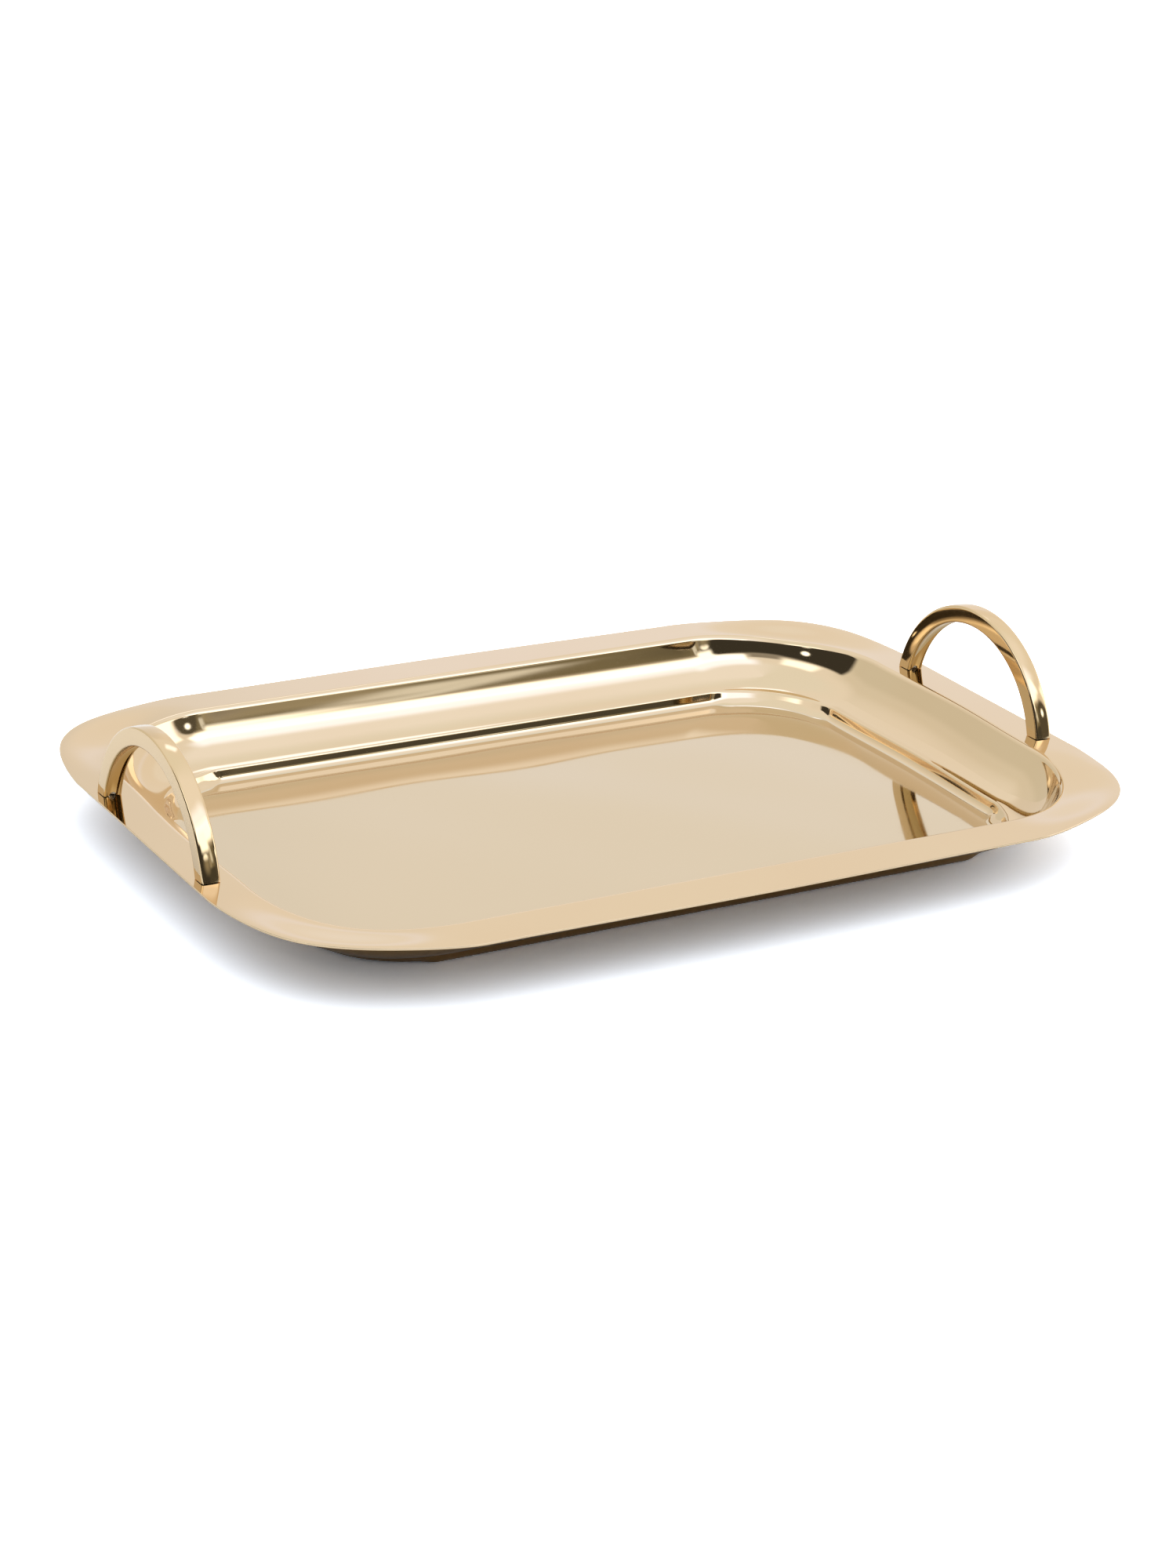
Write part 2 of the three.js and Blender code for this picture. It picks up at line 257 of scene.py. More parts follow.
def wall_section(step):
    """The wall's section from the rim to the floor as (inset, depth, slope), with close support points."""
    section = [(-MOUTH_OVERHANG - SEAM, 0.0, 0.0), (-MOUTH_OVERHANG, 0.0, 0.0)]

    def arc(radius, start, end, steps, turn):
        """Adds an arc between two slopes; turn is 1 where the slope grows and -1 where it eases."""
        inset, depth, _ = section[-1]
        for i in range(1, steps + 1):
            slope = start + (end - start) * i / steps
            section.append((
                inset + turn * radius * (math.sin(slope) - math.sin(start)),
                depth + turn * radius * (math.cos(start) - math.cos(slope)),
                slope,
            ))

    def straight(length, steps):
        """Adds a straight stretch, with a support point near each end."""
        inset, depth, slope = section[-1]
        for s in [SEAM, *(length * i / steps for i in range(1, steps)), length - SEAM, length]:
            section.append((inset + s * math.cos(slope), depth + s * math.sin(slope), slope))

    wall_top, wall_foot = WALL_SLOPE + WALL_CURVE, WALL_SLOPE - WALL_CURVE
    wall_depth = PAN_DEPTH
    wall_depth -= BEND_RADIUS * (1 - math.cos(wall_top))
    wall_depth -= COVE_RADIUS * (math.cos(LEDGE_SLOPE) - math.cos(wall_foot))
    wall_depth -= step["ridge"] * (math.cos(LEDGE_SLOPE) - math.cos(step["slope"]))
    wall_depth -= step["length"] * math.sin(step["slope"])
    wall_depth -= step["fillet"] * (1 - math.cos(step["slope"]))
    wall_radius = wall_depth / (math.cos(wall_foot) - math.cos(wall_top))
    arc(BEND_RADIUS, 0, wall_top, steps=20, turn=1)
    arc(wall_radius, wall_top, wall_foot, steps=14, turn=-1)
    arc(COVE_RADIUS, wall_foot, LEDGE_SLOPE, steps=36, turn=-1)
    arc(step["ridge"], LEDGE_SLOPE, step["slope"], steps=14, turn=1)
    straight(step["length"], steps=3)
    arc(step["fillet"], step["slope"], 0, steps=18, turn=-1)
    return section


def floor_wave(x, y):
    """Gentle unevenness of the pressed floor, between -1 and 1."""
    return (
        0.45 * math.sin(x / 31 + 0.6 * math.sin(y / 37)) * math.cos(y / 43 + 0.4)
        + 0.35 * math.cos(x / 53 - y / 29 + 1.1)
        + 0.20 * math.sin(x / 17 + y / 23)
    )


def pan_sheet():
    """The pan as one closed skin: underside, eased sheet edge, rim, wall and floor."""
    def wall_rings(below):
        """The wall's rings at a distance under its upper surface."""
        ways = []
        for step in (STEP, CORNER_STEP):
            section = wall_section(step)
            floor_inset = section[-1][0]
            ways.append([
                well_ring(inset - below * math.sin(slope), depth + below * math.cos(slope), floor_inset)
                for inset, depth, slope in section
            ])
        return [side + (corner - side) * corner_share()[:, None] for side, corner in zip(*ways)]

    upper = wall_rings(0)
    lower = wall_rings(SHEET)
    edge = outline(**RIM_EDGE)
    hang = np.clip((np.abs(edge[:, 1]) - DROOP_FROM) / (DROOP_WHOLE - DROOP_FROM), 0, 1)
    droop = RIM_DROOP * hang * hang * (3 - 2 * hang)
    centre_line = edge[:, :2]
    inward = -centre_line / np.linalg.norm(centre_line, axis=1)[:, None]

    def edge_ring(inset, drop):
        """A ring inside the sheet's edge and under its top."""
        ring = edge.copy()
        ring[:, :2] += inward * inset
        ring[:, 2] += RIM_TOP - drop - droop
        return ring

    def rim_rings(mouth, drop):
        """Rings from just inside the sheet's edge to just before the mouth."""
        outer = edge_ring(EDGE_ROUND, drop)
        rings = [outer]
        for i in range(1, RIM_RINGS):
            t = i / RIM_RINGS
            ring = outer + (mouth - outer) * t
            ease = t * t * (3 - 2 * t)
            level = outer[:, 2] + droop
            ring[:, 2] = level + (mouth[:, 2] - level) * ease - droop * (1 - t)
            rings.append(ring)
        rings.insert(1, outer + (rings[1] - outer) * RIM_SUPPORT)
        return rings

    def edge_rounding():
        """Rings up round the sheet's eased edge, between its underside and its top."""
        quarter = [math.pi / 2 * i / EASE_STEPS for i in range(1, EASE_STEPS)]
        places = [(1 - math.sin(angle), SHEET - EDGE_ROUND * (1 - math.cos(angle))) for angle in quarter]
        places += [(0, SHEET - EDGE_ROUND), (0, EDGE_ROUND)]
        places += [(1 - math.cos(angle), EDGE_ROUND * (1 - math.sin(angle))) for angle in quarter]
        return [edge_ring(EDGE_ROUND * inset, drop) for inset, drop in places]

    def floor_rings(last, wave):
        """Rings from the foot of the wall to near the middle."""
        rings = []
        for i in range(1, FLOOR_RINGS):
            t = 1 - i / FLOOR_RINGS
            ring = last.copy()
            ring[:, :2] *= t
            fade = min(1.0, (1 - t) / WAVE_FADE)
            for p in ring:
                p[2] += wave * fade * fade * (3 - 2 * fade) * (floor_wave(p[0], p[1]) - WAVE_OFFSET)
            rings.append(ring)
        return rings

    under = rim_rings(lower[0], SHEET)
    over = rim_rings(upper[0], 0)
    rings = [*floor_rings(lower[-1], 0)[::-1], *lower[::-1], *under[::-1]]
    rings += [*edge_rounding(), *over, *upper, *floor_rings(upper[-1], FLOOR_WAVE)]
    count = len(rings[0])
    points = np.vstack(rings)
    faces = grid_faces(len(rings), count)
    bottom, top = len(points), len(points) + 1
    last = (len(rings) - 1) * count
    for i in range(count):
        j = (i + 1) % count
        faces.append((bottom, j, i))
        faces.append((top, last + i, last + j))
    points = np.vstack([points, [0, 0, rings[0][0][2]], [0, 0, rings[-1][:, 2].mean()]])
    pan = mesh_object("pan_sheet", points, faces)
    low, high = RIM_TOP - SHEET - CUT_CLEAR, RIM_TOP + CUT_CLEAR
    holes = []
    for side in (-1, 1):
        for end in (-1, 1):
            holes.append(drill("hole", SCREW_HOLE, low, high, side * HANDLE_X, end * LEG_Y))
    return cut(pan, holes)


# ---- the handles

def tube_section(margin, edge):
    """The square tube's section as (across, out from the arch's centre): domed outside, dished inside."""
    half = TUBE / 2 - margin
    dish = half - CHANNEL
    flat_end = half - edge
    points = []

    def corner(start, steps=10):
        """A rounded corner centred on the diagonal, turning a quarter from the start angle."""
        across = math.copysign(flat_end, math.cos(start + math.pi / 4))
        out = math.copysign(flat_end, math.sin(start + math.pi / 4))
        for i in range(steps + 1):
            angle = start + math.pi / 2 * i / steps
            points.append((across + edge * math.cos(angle), out + edge * math.sin(angle)))

    def face(turn, steps=16):
        """The flat between two corners; turn says which way it looks."""
        for i in range(1, steps):
            along = flat_end * (1 - 2 * i / steps)
            points.append((
                half * math.cos(turn) + along * math.sin(turn),
                half * math.sin(turn) - along * math.cos(turn),
            ))

    corner(0)
    face(math.pi / 2)
    corner(math.pi / 2)
    face(math.pi)
    corner(math.pi)
    # the dish is one cubic curve between the two inner corners
    start, end = (-flat_end, -half), (flat_end, -half)
    low, high = (-half / 3, -(dish - margin / 3)), (half / 3, -(dish - margin / 3))
    for i in range(1, DISH_STEPS):
        t = i / DISH_STEPS
        weights = ((1 - t) ** 3, 3 * t * (1 - t) ** 2, 3 * t * t * (1 - t), t ** 3)
        points.append(tuple(sum(w * p[k] for w, p in zip(weights, (start, low, high, end))) for k in (0, 1)))
    corner(1.5 * math.pi)
    face(0)

    def domed(across, out):
        """Draws the edges of the outer face and of the sides in, which leaves the faces domed."""
        inwards = CROWN_OUT * (across / half) ** 2 * max(0.0, out / half)
        narrower = CROWN_SIDE * (out / half) ** 2 * across / half
        return across - narrower, out - inwards

    return [domed(*p) for p in points]


def arch_ring(x, across, out, turn):
    """Where one line of the tube lies at a turn from one foot (0) to the other (1)."""
    radius = TUBE_LINE + out
    low = math.asin(ARCH_DROP / radius)
    angle = low + (math.pi - 2 * low) * turn
    return x + across, radius * math.cos(angle), ARCH_CENTRE + radius * math.sin(angle)


def handle_tube(name, x):
    """One hollow arched tube standing on its two feet, with a small arched vent at the foot of each leg."""
    outer = tube_section(0, TUBE_EDGE)
    inner = tube_section(TUBE_WALL, TUBE_EDGE / 3)
    turns = [0, FOOT_SEAM, *(i / ARCH_STEPS for i in range(1, ARCH_STEPS)), 1 - FOOT_SEAM, 1]
    rings = [[arch_ring(x, across, out, turn) for across, out in outer] for turn in turns]
    rings += [[arch_ring(x, across, out, turn) for across, out in inner] for turn in reversed(turns)]
    count = len(outer)
    points = [p for ring in rings for p in ring]
    faces = [tuple(reversed(f)) for f in grid_faces(len(rings), count, closed=True)]
    tube = mesh_object(name, points, faces)
    vents = []
    for end in (-1, 1):
        foot = Vector((x, end * (LEG_Y - TUBE / 2 - TUBE_WALL), FOOT)) * MM
        vent = drill("vent", NOTCH_RADIUS, -TUBE / 2, TUBE / 2)
        vent.data.transform(Matrix.Translation(foot) @ Matrix.Rotation(math.pi / 2, 4, "X"))
        vents.append(vent)
    return cut(tube, vents)


# ---- the fixings

def washer_ring(name, x, y):
    """A flat washer with eased outer edges."""
    top = RIM_TOP - SHEET - GAP
    low, ease = top - WASHER_HEIGHT, WASHER_EASE
    profile = [
        (SCREW_HOLE, low), (WASHER_RADIUS - ease, low), (WASHER_RADIUS - ease / 3, low + ease / 3),
        (WASHER_RADIUS, low + ease), (WASHER_RADIUS, top - ease), (WASHER_RADIUS - ease / 3, top - ease / 3),
        (WASHER_RADIUS - ease, top), (SCREW_HOLE, top),
    ]
    return turned(name, profile, x, y, closed=True)


def button_screw(name, x, y):
    """A button-head screw, head down, with a hexagonal socket and a threaded shank."""
    seat = RIM_TOP - SHEET - GAP - WASHER_HEIGHT - GAP
    skirt, low, tip = seat - HEAD_SKIRT, seat - HEAD_HEIGHT, RIM_TOP + SCREW_REACH
    shoulder = HEAD_RADIUS * HEAD_FLAT
    profile = [(0, low), (shoulder * HEAD_SUPPORT, low), (shoulder, seat - HEAD_HEIGHT * HEAD_DOME)]
    for i in range(1, HEAD_STEPS):
        angle = math.pi / 2 * i / HEAD_STEPS
        profile.append((
            shoulder + (HEAD_RADIUS - shoulder) * math.sin(angle),
            skirt - (HEAD_HEIGHT - HEAD_SKIRT) * math.cos(angle) * HEAD_DOME,
        ))
    profile += [(HEAD_RADIUS, skirt), (HEAD_RADIUS, seat - HEAD_EASE), (HEAD_RADIUS - HEAD_EASE, seat)]
    profile += [(SCREW_RADIUS + SHANK_EASE, seat), (SCREW_RADIUS, seat + SHANK_EASE)]
    for i, z in enumerate(np.arange(seat + THREAD_START, tip - THREAD_END, THREAD_STEP)):
        profile.append((SCREW_RADIUS - (THREAD_DEPTH if i % 2 else 0.0), float(z)))
    profile += [(SCREW_RADIUS - TIP_TAPER, tip), (0, tip)]
    screw = turned(name, profile, x, y)
    mouth, end = low - CUT_CLEAR, low + SOCKET_DEPTH
    hexagon = [(0, mouth), (SOCKET_RADIUS, mouth), (SOCKET_RADIUS, end), (0, end + SOCKET_CONE)]
    return cut(screw, [turned("socket", hexagon, x, y, steps=6)])


# ---- materials

# the colours of each brass drift between a pale and a warm one
PAN_TONES = ((0.743, 0.581, 0.372), (0.735, 0.565, 0.358))
HANDLE_TONES = ((0.739, 0.557, 0.329), (0.731, 0.541, 0.307))
PAN_ROUGHNESS = 0.045
HANDLE_ROUGHNESS = 0.06
UNDER_PAINTED_SHADE = (0.52, 0.33, 0.15)   # painted shade: faces that look down are painted this darker brown
UNDER_ROUGHNESS = 0.10             # and what their finish adds to the roughness
WELL_BOTTOM_TONE = (0.693, 0.577, 0.403)    # a paler tone on the flat bottom of the well
ARCH_INSIDE_PAINTED_SHADE = (0.46, 0.31, 0.125)     # painted shade: the faces of a handle that look at the centre of its arch are painted this deeper brown
# between which two values each of these tones sets in
UNDER_FACING = (-0.05, -0.3)       # the normal's height
WELL_BOTTOM_HEIGHTS = (1.65 * SHEET * MM, 1.25 * SHEET * MM)
ARCH_INSIDE_SHADE_FACING = (-0.35, -0.75)     # the normal's share along the spoke from the arch's centre
HAIRLINES = (0.06, 1.0, 1.0)       # drawn out along the long side
POLISH_BUMP = 0.00002              # metres

STEEL_TONES = ((0.40, 0.39, 0.37), (0.55, 0.54, 0.51))
STEEL_ROUGHNESS = (0.24, 0.42)
STEEL_BUMP = 0.00002

FLOOR_PLAIN = ((0.63, 0.62, 0.61), (0.65, 0.64, 0.63))    # the paint as the brass sees it
FLOOR_EXTRA = ((0.91, 0.91, 0.91), (0.93, 0.93, 0.93))    # what the camera sees on top of that
FLOOR_BOUNCE = (0.34, 0.38, 0.45)  # the floor as its own shaded parts see it in the brass


class Graph:
    """Short calls for building a node tree."""

    def __init__(self, tree):
        self.tree = tree
        self.tree.nodes.clear()

    def add(self, kind, **settings):
        """A new node with its settings."""
        node = self.tree.nodes.new(kind)
        for key, value in settings.items():
            setattr(node, key, value)
        return node

    def put(self, socket, value):
        """Links an output to a socket, or sets a plain value on it."""
        if isinstance(value, bpy.types.NodeSocket):
            self.tree.links.new(value, socket)
        else:
            socket.default_value = value

    def math(self, operation, *values):
        """What a math node makes of the values."""
        node = self.add("ShaderNodeMath", operation=operation)
        for socket, value in zip(node.inputs, values):
            self.put(socket, value)
        return node.outputs[0]

    def vector(self, operation, *values):
        """The same for vectors."""
        node = self.add("ShaderNodeVectorMath", operation=operation)
        for socket, value in zip(node.inputs, values):
            self.put(socket, value)
        return node.outputs["Value" if operation == "DOT_PRODUCT" else "Vector"]

    def ramp(self, value, low, high, out_low=0.0, out_high=1.0):
        """A smooth step from out_low to out_high as value goes from low to high."""
        node = self.add("ShaderNodeMapRange", interpolation_type="SMOOTHSTEP")
        for socket, v in zip(node.inputs, (value, low, high, out_low, out_high)):
            self.put(socket, v)
        return node.outputs[0]

    def mix(self, factor, a, b):
        """Colour a where the factor is 0 and b where it is 1."""
        node = self.add("ShaderNodeMix", data_type="RGBA")
        self.put(node.inputs[0], factor)
        self.put(node.inputs[6], a)
        self.put(node.inputs[7], b)
        return node.outputs[2]

    def noise(self, coords, scale, detail=2.0, roughness=0.5, stretch=None):
        """A noise texture's value, with the coordinates scaled first where a stretch is given."""
        if stretch is not None:
            mapping = self.add("ShaderNodeMapping")
            self.put(mapping.inputs["Vector"], coords)
            self.put(mapping.inputs["Scale"], stretch)
            coords = mapping.outputs[0]
        node = self.add("ShaderNodeTexNoise")
        self.put(node.inputs["Vector"], coords)
        self.put(node.inputs["Scale"], scale)
        self.put(node.inputs["Detail"], detail)
        self.put(node.inputs["Roughness"], roughness)
        return node.outputs["Fac"]


def polished_brass(name, tones, roughness, under=None, bottom=None, inside=None):
    """Mirror-polished brass: slight colour drift, faint haze, hairline buffing marks and draw ripples.
    Where they are given, faces that look down are painted browner and darker as painted shade under the
    tray and take a rougher finish, the flat bottom of the well takes a paler tone, and the faces of a handle
    that look at the centre of its arch are painted a deeper brown as painted shade inside the arch."""
    material = bpy.data.materials.new(name)
    material.use_nodes = True
    g = Graph(material.node_tree)
    coords = g.add("ShaderNodeTexCoord").outputs["Object"]
    output = g.add("ShaderNodeOutputMaterial")
    shader = g.add("ShaderNodeBsdfPrincipled")
    shader.inputs["Metallic"].default_value = 1.0
    drift = g.noise(coords, scale=9.0, detail=3.0)
    pale, warm = tones
    tone = g.mix(g.ramp(drift, 0.35, 0.7), (*pale, 1), (*warm, 1))
    haze = g.noise(coords, scale=26.0, detail=4.0, roughness=0.6)
    hair = g.noise(coords, scale=900.0, stretch=HAIRLINES)
    rough = g.ramp(haze, 0.3, 0.75, roughness * 0.75, roughness * 1.35)
    rough = g.math("ADD", rough, g.math("MULTIPLY", g.ramp(hair, 0.55, 0.8), roughness * 0.35))
    # the flat bottom of the well takes a paler tone
    if bottom is not None:
        place = g.add("ShaderNodeSeparateXYZ")
        g.put(place.inputs[0], coords)
        tone = g.mix(g.ramp(place.outputs[2], *WELL_BOTTOM_HEIGHTS), tone, (*bottom, 1))
    # painted shade: handle faces that look at the centre of the arch are painted a deeper brown
    if inside is not None:
        spoke = g.vector("SUBTRACT", coords, (0, 0, ARCH_CENTRE * MM))
        spoke = g.vector("NORMALIZE", g.vector("MULTIPLY", spoke, (0, 1, 1)))
        normal = g.add("ShaderNodeNewGeometry").outputs["Normal"]
        inwards = g.ramp(g.vector("DOT_PRODUCT", spoke, normal), *ARCH_INSIDE_SHADE_FACING)
        tone = g.mix(inwards, tone, (*inside, 1))
    # painted shade: faces that look down are painted a darker brown; the added roughness is their duller
    # finish
    if under is not None:
        facing = g.add("ShaderNodeSeparateXYZ")
        g.put(facing.inputs[0], g.add("ShaderNodeNewGeometry").outputs["Normal"])
        down = g.ramp(facing.outputs[2], *UNDER_FACING)
        tone = g.mix(down, tone, (*under, 1))
        rough = g.math("ADD", rough, g.math("MULTIPLY", down, UNDER_ROUGHNESS))
    g.put(shader.inputs["Base Color"], tone)
    g.put(shader.inputs["Roughness"], rough)
    ripple = g.noise(coords, scale=24.0, detail=1.0)
    bump = g.add("ShaderNodeBump")
    bump.inputs["Strength"].default_value = 0.25
    bump.inputs["Distance"].default_value = POLISH_BUMP
    g.put(bump.inputs["Height"], g.math("ADD", ripple, g.math("MULTIPLY", hair, 0.02)))
    g.put(shader.inputs["Normal"], bump.outputs[0])
    g.put(output.inputs["Surface"], shader.outputs[0])
    return material


def plain_steel(name):
    """Turned and lightly tumbled steel for the fixings."""
    material = bpy.data.materials.new(name)
    material.use_nodes = True
    g = Graph(material.node_tree)
    coords = g.add("ShaderNodeTexCoord").outputs["Object"]
    output = g.add("ShaderNodeOutputMaterial")
    shader = g.add("ShaderNodeBsdfPrincipled")
    shader.inputs["Metallic"].default_value = 1.0
    grain = g.noise(coords, scale=1400.0, detail=3.0, roughness=0.6)
    dark, light = STEEL_TONES
    tone = g.mix(g.ramp(g.noise(coords, scale=300.0), 0.3, 0.7), (*dark, 1), (*light, 1))
    g.put(shader.inputs["Base Color"], tone)
    g.put(shader.inputs["Roughness"], g.ramp(grain, 0.3, 0.7, *STEEL_ROUGHNESS))
    bump = g.add("ShaderNodeBump")
    bump.inputs["Strength"].default_value = 0.3
    bump.inputs["Distance"].default_value = STEEL_BUMP
    g.put(bump.inputs["Height"], grain)
    g.put(shader.inputs["Normal"], bump.outputs[0])
    g.put(output.inputs["Surface"], shader.outputs[0])
    return material


def white_floor_paint(name):
    """Matt studio floor: bright white where the camera sees it, a pale grey in the brass, and duller in the
    light that the brass throws back on the floor."""
    material = bpy.data.materials.new(name)
    material.use_nodes = True
    g = Graph(material.node_tree)
    coords = g.add("ShaderNodeTexCoord").outputs["Object"]
    output = g.add("ShaderNodeOutputMaterial")
    plain = g.add("ShaderNodeBsdfDiffuse")
    bright = g.add("ShaderNodeBsdfDiffuse")
    mottle = g.noise(coords, scale=3.0)
    for part, (dark, light) in ((plain, FLOOR_PLAIN), (bright, FLOOR_EXTRA)):
        g.put(part.inputs["Color"], g.mix(mottle, (*dark, 1), (*light, 1)))
    both = g.add("ShaderNodeAddShader")
    g.put(both.inputs[0], plain.outputs[0])
    g.put(both.inputs[1], bright.outputs[0])
    dull = g.add("ShaderNodeBsdfDiffuse")
    g.put(dull.inputs["Color"], (*FLOOR_BOUNCE, 1))
    path = g.add("ShaderNodeLightPath")
    other = g.add("ShaderNodeMixShader")
    g.put(other.inputs[0], g.math("GREATER_THAN", path.outputs["Diffuse Depth"], 0.5))
    g.put(other.inputs[1], plain.outputs[0])
    g.put(other.inputs[2], dull.outputs[0])
    choice = g.add("ShaderNodeMixShader")
    g.put(choice.inputs[0], path.outputs["Is Camera Ray"])
    g.put(choice.inputs[1], other.outputs[0])
    g.put(choice.inputs[2], both.outputs[0])
    g.put(output.inputs["Surface"], choice.outputs[0])
    return material


# ---- the object

# the pan's faces that look down carry painted shade
brass = polished_brass("polished_brass", PAN_TONES, PAN_ROUGHNESS, under=UNDER_PAINTED_SHADE, bottom=WELL_BOTTOM_TONE)
# the handles' faces that look at the centre of each arch carry painted shade
handle_brass = polished_brass("handle_brass", HANDLE_TONES, HANDLE_ROUGHNESS, inside=ARCH_INSIDE_PAINTED_SHADE)
steel = plain_steel("tumbled_steel")


def dress(piece, material, slot, *nodes):
    """Gives a piece its material and body, and puts it in place of CAD nodes; the slot is not used."""
    piece.data.materials.clear()
    piece.data.materials.append(material)
    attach(piece, "root")
    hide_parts(*nodes)


dress(pan_sheet(), brass, "pan_brass", "tray_pan")
for side, sign in (("left", -1), ("right", 1)):
    x = sign * HANDLE_X
    dress(handle_tube(f"{side}_handle_tube", x), handle_brass, "handle_brass", f"{side}_handle")
    for end, way in (("front", -1), ("rear", 1)):
        place = f"{side}_{end}"
        dress(washer_ring(f"{place}_washer_ring", x, way * LEG_Y), steel, "fixing_steel", f"{place}_washer")
        dress(button_screw(f"{place}_button_screw", x, way * LEG_Y), steel, "fixing_steel", f"{place}_screw")
        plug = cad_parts[f"{place}_plug"]
        plug.data.materials.clear()
        plug.data.materials.append(steel)


# ---- the camera

def studio_camera():
    """The camera at the front left, looking down on the tray and rolled slightly."""
    a, e, roll = CAMERA_AZIMUTH, CAMERA_ELEVATION, CAMERA_ROLL
    back = Vector((math.sin(a) * math.cos(e), -math.cos(a) * math.cos(e), math.sin(e)))
    level = Vector((math.cos(a), math.sin(a), 0))
    up = back.cross(level)
    right = math.cos(roll) * level + math.sin(roll) * up
    top = math.cos(roll) * up - math.sin(roll) * level
    target = Vector((0, 0, RIM_TOP))
    place = target + right * CAMERA_SLIDE[0] + top * CAMERA_SLIDE[1] + back * CAMERA_DISTANCE
    data = bpy.data.cameras.new("camera")
    data.lens = CAMERA_LENS
    data.sensor_width = 36
    data.clip_start = 0.01
    data.clip_end = 100
    camera = bpy.data.objects.new("camera", data)
    rotation = Matrix((right, top, back)).transposed().to_4x4()
    camera.matrix_world = Matrix.Translation(place * MM) @ rotation
    bpy.context.scene.collection.objects.link(camera)
    bpy.context.scene.camera = camera


# ---- the studio

def studio_floor():
    """A broad pale floor, just under the tray's flat bottom."""
    reach, count, height = 9000.0, 24, -0.02
    points, faces = [], []
    for i in range(count + 1):
        for j in range(count + 1):
            points.append((reach * (2 * i / count - 1), reach * (2 * j / count - 1), height))
    for i in range(count):
        for j in range(count):
            a = i * (count + 1) + j
            faces.append((a, a + count + 1, a + count + 2, a + 1))
    floor = mesh_object("studio_floor", points, faces)
    floor.data.materials.append(white_floor_paint("studio_white"))


KEY_TOWARD = (0.6, 0.5, 1.0)       # from the tray towards the light
KEY_STRENGTH = 0.4
KEY_SPREAD = math.radians(60)


def key_light():
    """A weak, broad light from the back right, which the brass doesn't reflect; it lays the shadow slightly
    to the front left."""
    data = bpy.data.lights.new("key", "SUN")
    data.energy = KEY_STRENGTH
    data.angle = KEY_SPREAD
    light = bpy.data.objects.new("key", data)
    light.rotation_euler = Vector(KEY_TOWARD).to_track_quat("Z", "Y").to_euler()
    light.visible_glossy = False
    bpy.context.scene.collection.objects.link(light)


BACKDROP = (1.2, 1.2, 1.2)         # what the camera sees past the floor

# The sky that lights matt surfaces.  Angles are in degrees; azimuths run from the front towards the right.
SKY_LOW = (0.08, 0.10, 0.14)       # light on matt surfaces from low down
SKY_HIGH = (1.51, 1.60, 1.73)      # and from above; cool, against the warm light that the brass throws
SKY_RISE_FRONT = (34, 60)          # the elevations between which it grows, in front of the tray
SKY_RISE_SIDES = (-4, 24)          # and to its sides and behind it
SKY_FRONT = (-64, -2)              # azimuths of the darker front
SKY_GLOW = (52, 130)               # and of a bright side to the right
SKY_GLOW_HEIGHTS = (0, 34)
SKY_GLOW_COLOUR = (3.8, 4.0, 4.3)
SKY_SOFT_SIDES = 25                # how soft the sides of the front and of the glow are
SKY_SOFT_HEIGHTS = 10              # and the top and bottom of the glow

# What the polished metal sees round it: a plain room with panels and then lamps laid one over the other.  A
# panel covers a range of azimuths and of elevations; a lamp is an ellipse about one direction.
ROOM = (1.05, 1.06, 1.10)
ALL_ROUND = (-400, 400)            # further than any azimuth goes, even softened
STUDIO_PANELS = (
    # name, azimuths, elevations, how soft the sides and the top and bottom are, colour
    ("warm backdrop", ALL_ROUND, (-90, 34), (1, 3), (1.02, 0.995, 0.98)),
    ("cool band across it", ALL_ROUND, (15.5, 20), (1, 2.6), (1.045, 1.055, 1.16)),
    ("tan end of it", (156.5, 400), (-90, 34), (4, 3), (0.92, 0.91, 0.91)),
    ("left wall", (-400, -118), (-5, 38), (14, 9), (0.90, 0.90, 0.88)),
    ("foot of the left wall", (-400, -118), (-5, 21), (14, 6), (0.82, 0.82, 0.78)),
    ("ceiling", ALL_ROUND, (53, 95), (1, 8), (1.02, 1.07, 1.12)),
    ("bright half of the ceiling", (-40, 114), (52, 95), (28, 6), (1.14, 1.19, 1.34)),
    ("glow above the key softbox", (-25, 54), (44, 57), (10, 5), (1.49, 1.71, 2.33)),
    ("window behind", (141.5, 153), (42, 49), (1.5, 2.5), (1.73, 1.90, 2.40)),
    ("dark room", (-122, 24), (-20, 33), (3, 2.5), (0.054, 0.051, 0.044)),
    ("dim side of the room", (24, 37), (-20, 29), (1, 4), (0.238, 0.215, 0.144)),
    ("its near end", (23.5, 26.2), (-20, 21), (0.8, 3.5), (0.42, 0.39, 0.295)),
    ("its foot", (20, 44), (-20, 11.5), (2, 1.5), (0.083, 0.078, 0.062)),
    ("gap between the softboxes", (-52, -18), (32, 39), (6, 2), (0.36, 0.35, 0.34)),
    ("key softbox", (-15, 47), (34, 46), (3, 3), (2.26, 2.41, 2.88)),
    ("key softbox, low side", (12, 40), (31.5, 42), (4, 3), (2.26, 2.41, 2.67)),
    ("key softbox, low corner", (14, 27.8), (25, 40), (2.5, 3), (2.14, 2.28, 2.49)),
    ("strip light on the right", (52, 82), (-12, 33), (2, 3), (2.02, 2.15, 2.36)),
    ("fill softbox", (-98, -56), (36, 50), (6, 3.5), (1.90, 2.03, 2.22)),
    ("pale card", (26.2, 28.6), (15.5, 23.5), (0.9, 2.5), (0.93, 0.97, 0.99)),
    ("its tall end", (28.1, 29.5), (15.5, 28.5), (0.7, 2.0), (0.95, 1.00, 1.03)),
)
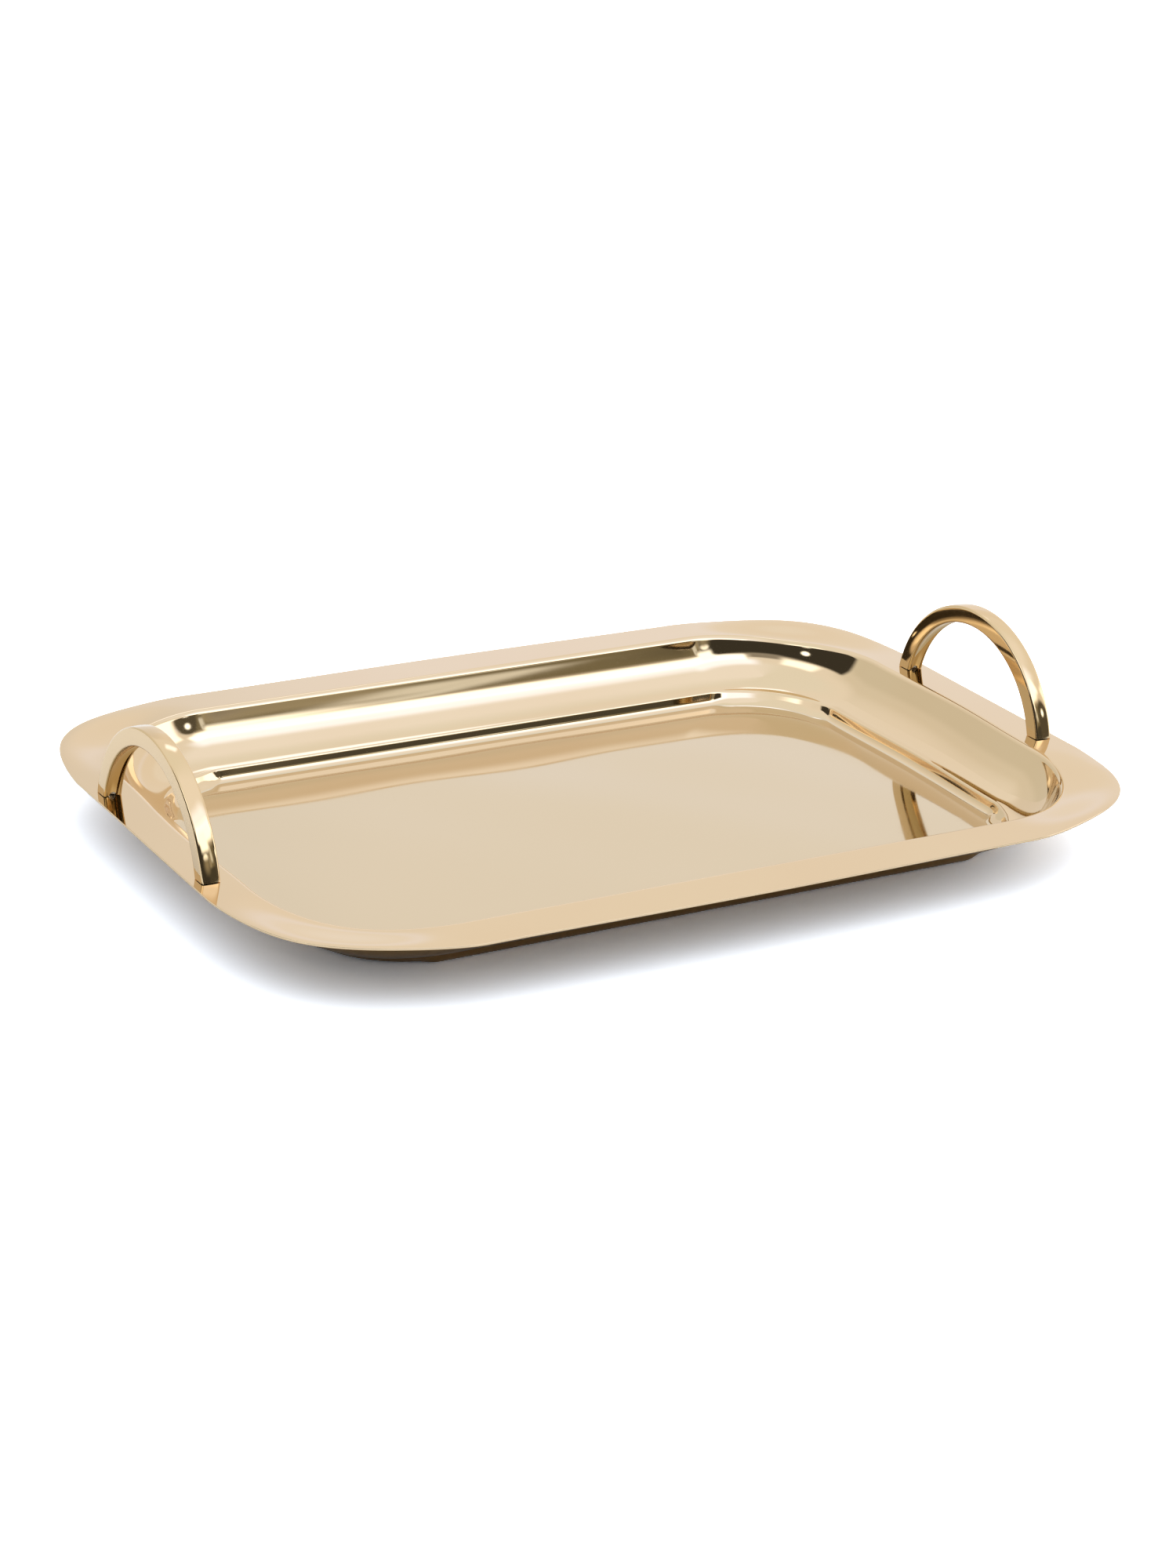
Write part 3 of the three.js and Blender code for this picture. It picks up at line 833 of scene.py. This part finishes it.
STUDIO_LAMPS = (
    # name, azimuth and elevation, radii, softness as a share of the radii, colour
    ("dark flag", (40.5, 12), (9.5, 17), 0.15, (0.119, 0.108, 0.082)),
    ("lamp on the flag", (40, 19), (2.2, 2.6), 0.6, (2.74, 2.91, 3.15)),
    ("lamp on the left", (-74, 23), (4.0, 2.2), 0.5, (2.74, 2.91, 3.15)),
    ("small lamp", (18.5, 20.5), (3.2, 2.6), 0.6, (2.74, 2.91, 3.15)),
    ("its glow", (18.5, 15), (4.0, 6.0), 0.9, (0.36, 0.33, 0.247)),
)


def studio_world():
    """A world of three parts, each by direction alone: a plain backdrop for the camera, the room of panels
    and lamps for what the brass mirrors, and a soft sky for the light on matt surfaces."""
    world = bpy.data.worlds.new("studio")
    world.use_nodes = True
    bpy.context.scene.world = world
    g = Graph(world.node_tree)
    direction = g.add("ShaderNodeTexCoord").outputs["Generated"]
    split = g.add("ShaderNodeSeparateXYZ")
    g.put(split.inputs[0], direction)
    x, y, z = split.outputs
    elevation = g.math("MULTIPLY", g.math("ARCSINE", z), 180 / math.pi)
    azimuth = g.math("MULTIPLY", g.math("ARCTAN2", x, g.math("MULTIPLY", y, -1.0)), 180 / math.pi)

    def window(value, low, high, soft):
        """1 between low and high and 0 outside; each edge fades over the distance soft to either side."""
        rise = g.ramp(value, low - soft, low + soft)
        return g.math("MULTIPLY", rise, g.ramp(value, high + soft, high - soft))

    room = (*ROOM, 1)
    for _, sides, heights, soft, colour in STUDIO_PANELS:
        cover = window(elevation, *heights, soft[1])
        if sides != ALL_ROUND:
            cover = g.math("MULTIPLY", cover, window(azimuth, *sides, soft[0]))
        room = g.mix(cover, room, (*colour, 1))
    for _, centre, radii, soft, colour in STUDIO_LAMPS:
        across, along = (
            g.math("DIVIDE", g.math("SUBTRACT", value, middle), radius)
            for value, middle, radius in zip((azimuth, elevation), centre, radii)
        )
        squares = g.math("ADD", g.math("MULTIPLY", across, across), g.math("MULTIPLY", along, along))
        room = g.mix(g.ramp(g.math("SQRT", squares), 1 + soft, 1 - soft), room, (*colour, 1))
    path = g.add("ShaderNodeLightPath")
    front = window(azimuth, *SKY_FRONT, SKY_SOFT_SIDES)
    rise = g.math("MULTIPLY", front, g.ramp(elevation, *SKY_RISE_FRONT))
    sides = g.math("MULTIPLY", g.math("SUBTRACT", 1.0, front), g.ramp(elevation, *SKY_RISE_SIDES))
    sky = g.mix(g.math("ADD", rise, sides), (*SKY_LOW, 1), (*SKY_HIGH, 1))
    glow_sides = window(azimuth, *SKY_GLOW, SKY_SOFT_SIDES)
    glow = g.math("MULTIPLY", glow_sides, window(elevation, *SKY_GLOW_HEIGHTS, SKY_SOFT_HEIGHTS))
    sky = g.mix(glow, sky, (*SKY_GLOW_COLOUR, 1))
    mirrored = g.math("LESS_THAN", path.outputs["Diffuse Depth"], 0.5)
    mirrored = g.math("MULTIPLY", mirrored, path.outputs["Is Glossy Ray"])
    seen = g.mix(mirrored, sky, room)
    seen = g.mix(path.outputs["Is Camera Ray"], seen, (*BACKDROP, 1))
    background = g.add("ShaderNodeBackground")
    g.put(background.inputs["Color"], seen)
    output = g.add("ShaderNodeOutputWorld")
    g.put(output.inputs["Surface"], background.outputs[0])
    world.cycles.sampling_method = "NONE"


studio_camera()
studio_floor()
key_light()
studio_world()
bpy.context.scene.view_settings.view_transform = "Standard"
